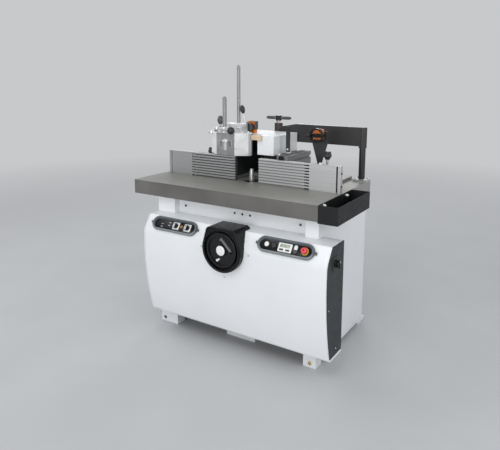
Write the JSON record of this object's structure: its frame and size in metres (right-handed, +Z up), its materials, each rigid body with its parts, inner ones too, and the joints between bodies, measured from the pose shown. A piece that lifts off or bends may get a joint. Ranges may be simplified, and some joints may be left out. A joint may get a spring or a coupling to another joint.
{
  "type": "spindle moulder",
  "caption": "Floor-standing spindle moulder: cast table with rising spindle, telescopic fences, dust hood on a swing arm, and a cabinet with a curved control front.",
  "frame": {"origin": "on the floor under the middle of the machine's box", "axes": "+Z up, +Y from the operator to the rear, +X to the operator's right"},
  "size_m": [1.322, 0.846, 1.54],
  "materials": {
    "white_paint": "semi-gloss powder coat",
    "table_iron": "planed",
    "anthracite_paint": "satin powder coat",
    "black_paint": "satin powder coat",
    "cast_grey": "painted casting",
    "black_plastic": "moulded",
    "panel_grey": "moulded",
    "white_plastic": "moulded",
    "red_plastic": "moulded",
    "orange_plastic": "moulded",
    "aluminium": "milled",
    "bright_steel": "turned",
    "belt_rubber": "ribbed"
  },
  "bodies": {
    "cabinet": {"left_side_frame": "white_paint", "right_side_frame": "white_paint", "rear_panel": "white_paint", "front_beam": "white_paint", "front_cover": "white_paint", "left_end_cap": "anthracite_paint", "right_end_cap": "anthracite_paint", "electrical_box": "anthracite_paint", "handwheel_shroud": "black_plastic", "left_control_panel": "panel_grey", "right_control_panel": "panel_grey", "table": "table_iron", "table_ring": "table_iron", "tray": "anthracite_paint", "arm_post": "black_paint", "carriage_guide": "cast_grey", "lift_gearbox": "cast_grey"},
    "handwheel": {"handwheel": "black_plastic", "handwheel_shaft": "bright_steel"},
    "crank_handle": {"crank_handle": "black_plastic"},
    "lift_screw": {"lift_screw": "bright_steel"},
    "carriage": {"spindle_carriage": "cast_grey", "spindle_quill": "bright_steel", "motor": "cast_grey", "drive_belt": "belt_rubber"},
    "spindle": {"spindle_shaft": "bright_steel", "spindle_pulley": "bright_steel"},
    "motor_rotor": {"motor_pulley": "bright_steel"},
    "swing_arm": {"arm": "black_paint"},
    "lift_handle": {"lift_handle": "bright_steel"},
    "fence": {"fence_bed": "aluminium", "guard_box": "black_paint", "dust_hood": "white_paint", "hood_casting": "aluminium", "lift_bracket": "black_paint", "adjuster_stand": "black_paint", "position_counters": "orange_plastic"},
    "left_fence": {"left_slide": "aluminium", "left_fence_bars": "aluminium"},
    "left_fence_plate": {"left_fence_plate": "aluminium"},
    "right_fence": {"right_slide": "aluminium", "right_fence_bars": "aluminium", "hold_down_post": "black_paint"},
    "right_fence_plate": {"right_fence_plate": "aluminium"},
    "left_adjuster": {"left_adjuster": "black_plastic"},
    "right_adjuster": {"right_adjuster": "black_plastic"},
    "short_rod": {"short_rod": "bright_steel"},
    "long_rod": {"long_rod": "bright_steel"},
    "clamp_lever": {"clamp_lever": "black_plastic"},
    "casting_knob": {"casting_knob": "black_plastic"},
    "rod_lever": {"rod_lever": "bright_steel"},
    "left_clamp_knob": {"left_clamp_knob": "black_plastic"},
    "right_clamp_knob": {"right_clamp_knob": "black_plastic"},
    "selector_a": {"selector_a": "black_plastic"},
    "selector_b": {"selector_b": "black_plastic"},
    "start_button": {"start_button": "white_plastic"},
    "jog_button": {"jog_button": "black_plastic"},
    "dual_button": {"dual_button": "white_plastic"},
    "emergency_stop": {"emergency_stop": "red_plastic"},
    "main_switch": {"main_switch": "black_plastic"}
  },
  "joints": [
    {"name": "handwheel_turn", "type": "hinge", "parent": "cabinet", "child": "handwheel", "pos_m": [0.056, -0.4, 0.592], "axis": [0, 1, 0], "range_deg": [-6301, 5401]},
    {"name": "crank_fold", "type": "hinge", "parent": "handwheel", "child": "crank_handle", "pos_m": [0.056, -0.412, 0.6514], "axis": [-0.7071, 0, -0.7071], "range_deg": [0, 90]},
    {"name": "lift_screw_turn", "type": "hinge", "parent": "cabinet", "child": "lift_screw", "pos_m": [0.056, -0.137, 0.47], "axis": [0, 0, 1], "range_deg": [-6310, 5410]},
    {"name": "carriage_lift", "type": "slide", "parent": "cabinet", "child": "carriage", "axis": [0, 0, 1], "range_m": [-0.07, 0.06]},
    {"name": "spindle_spin", "type": "hinge", "parent": "carriage", "child": "spindle", "pos_m": [-0.051, 0.048, 0.8], "axis": [0, 0, 1], "continuous": true},
    {"name": "motor_spin", "type": "hinge", "parent": "carriage", "child": "motor_rotor", "pos_m": [-0.051, 0.268, 0.4], "axis": [0, 0, 1], "continuous": true},
    {"name": "arm_swing", "type": "hinge", "parent": "cabinet", "child": "swing_arm", "pos_m": [0.499, 0.381, 1.1], "axis": [0, 0, 1], "range_deg": [-95, 0]},
    {"name": "lift_handle_turn", "type": "hinge", "parent": "swing_arm", "child": "lift_handle", "pos_m": [-0.061, 0.381, 1.2], "axis": [0, 0, -1], "range_deg": [0, 1441]},
    {"name": "fence_lift", "type": "slide", "parent": "swing_arm", "child": "fence", "axis": [0, 0, 1], "range_m": [0, 0.012]},
    {"name": "left_adjuster_turn", "type": "hinge", "parent": "fence", "child": "left_adjuster", "pos_m": [-0.139, 0.163, 1.171], "axis": [0, 1, 0], "range_deg": [-2701, 2701]},
    {"name": "left_fence_shift", "type": "slide", "parent": "fence", "child": "left_fence", "axis": [0, 1, 0], "range_m": [-0.015, 0.015]},
    {"name": "left_plate_slide", "type": "slide", "parent": "left_fence", "child": "left_fence_plate", "axis": [-1, 0, 0], "range_m": [-0.03, 0.06]},
    {"name": "right_adjuster_turn", "type": "hinge", "parent": "fence", "child": "right_adjuster", "pos_m": [0.324, 0.133, 1.15], "axis": [0, 1, 0], "range_deg": [-2701, 2701]},
    {"name": "right_fence_shift", "type": "slide", "parent": "fence", "child": "right_fence", "axis": [0, 1, 0], "range_m": [-0.015, 0.015]},
    {"name": "right_plate_slide", "type": "slide", "parent": "right_fence", "child": "right_fence_plate", "axis": [1, 0, 0], "range_m": [-0.01, 0.06]},
    {"name": "short_rod_slide", "type": "slide", "parent": "fence", "child": "short_rod", "axis": [0, 0, 1], "range_m": [-0.06, 0.04]},
    {"name": "long_rod_slide", "type": "slide", "parent": "fence", "child": "long_rod", "axis": [0, 0, 1], "range_m": [-0.06, 0.04]},
    {"name": "clamp_lever_turn", "type": "hinge", "parent": "fence", "child": "clamp_lever", "pos_m": [-0.116, 0.083, 1.185], "axis": [1, 0, 0], "range_deg": [0, 45]},
    {"name": "casting_knob_turn", "type": "hinge", "parent": "fence", "child": "casting_knob", "pos_m": [-0.3, 0.083, 1.19], "axis": [0, 0, 1], "range_deg": [0, 720]},
    {"name": "rod_lever_turn", "type": "hinge", "parent": "fence", "child": "rod_lever", "pos_m": [-0.212, -0.032, 1.166], "axis": [0, -1, 0], "range_deg": [0, 90]},
    {"name": "left_clamp_turn", "type": "hinge", "parent": "fence", "child": "left_clamp_knob", "pos_m": [-0.361, 0.073, 1], "axis": [0, 0, 1], "range_deg": [0, 720]},
    {"name": "right_clamp_turn", "type": "hinge", "parent": "fence", "child": "right_clamp_knob", "pos_m": [0.4, 0.113, 1], "axis": [0, 0, 1], "range_deg": [0, 720]},
    {"name": "selector_a_turn", "type": "hinge", "parent": "cabinet", "child": "selector_a", "pos_m": [-0.287, -0.3575, 0.651], "axis": [0, -0.8271, 0.562], "range_deg": [-45, 45]},
    {"name": "selector_b_turn", "type": "hinge", "parent": "cabinet", "child": "selector_b", "pos_m": [-0.207, -0.3575, 0.651], "axis": [0, -0.8271, 0.562], "range_deg": [-45, 45]},
    {"name": "start_button_press", "type": "slide", "parent": "cabinet", "child": "start_button", "axis": [0, 0.8271, -0.562], "range_m": [0, 0.004], "stiffness_N_per_m": 500},
    {"name": "jog_button_press", "type": "slide", "parent": "cabinet", "child": "jog_button", "axis": [0, 0.8271, -0.562], "range_m": [0, 0.004], "stiffness_N_per_m": 500},
    {"name": "dual_button_press", "type": "slide", "parent": "cabinet", "child": "dual_button", "axis": [0, 0.8271, -0.562], "range_m": [0, 0.004], "stiffness_N_per_m": 500},
    {"name": "emergency_stop_press", "type": "slide", "parent": "cabinet", "child": "emergency_stop", "axis": [0, 0.8271, -0.562], "range_m": [0, 0.004], "stiffness_N_per_m": 1500},
    {"name": "main_switch_turn", "type": "hinge", "parent": "cabinet", "child": "main_switch", "pos_m": [0.639, -0.303, 0.603], "axis": [1, 0, 0], "range_deg": [0, 90]}
  ],
  "couplings": [
    {"joint": "handwheel_turn", "follows": "carriage_lift", "rad_per_m": 1570.8},
    {"joint": "lift_screw_turn", "follows": "carriage_lift", "rad_per_m": 1570.8},
    {"joint": "motor_spin", "follows": "spindle_spin", "ratio": 0.66667},
    {"joint": "lift_handle_turn", "follows": "fence_lift", "rad_per_m": 2094.4},
    {"joint": "left_adjuster_turn", "follows": "left_fence_shift", "rad_per_m": 3141.6},
    {"joint": "right_adjuster_turn", "follows": "right_fence_shift", "rad_per_m": 3141.6}
  ]
}
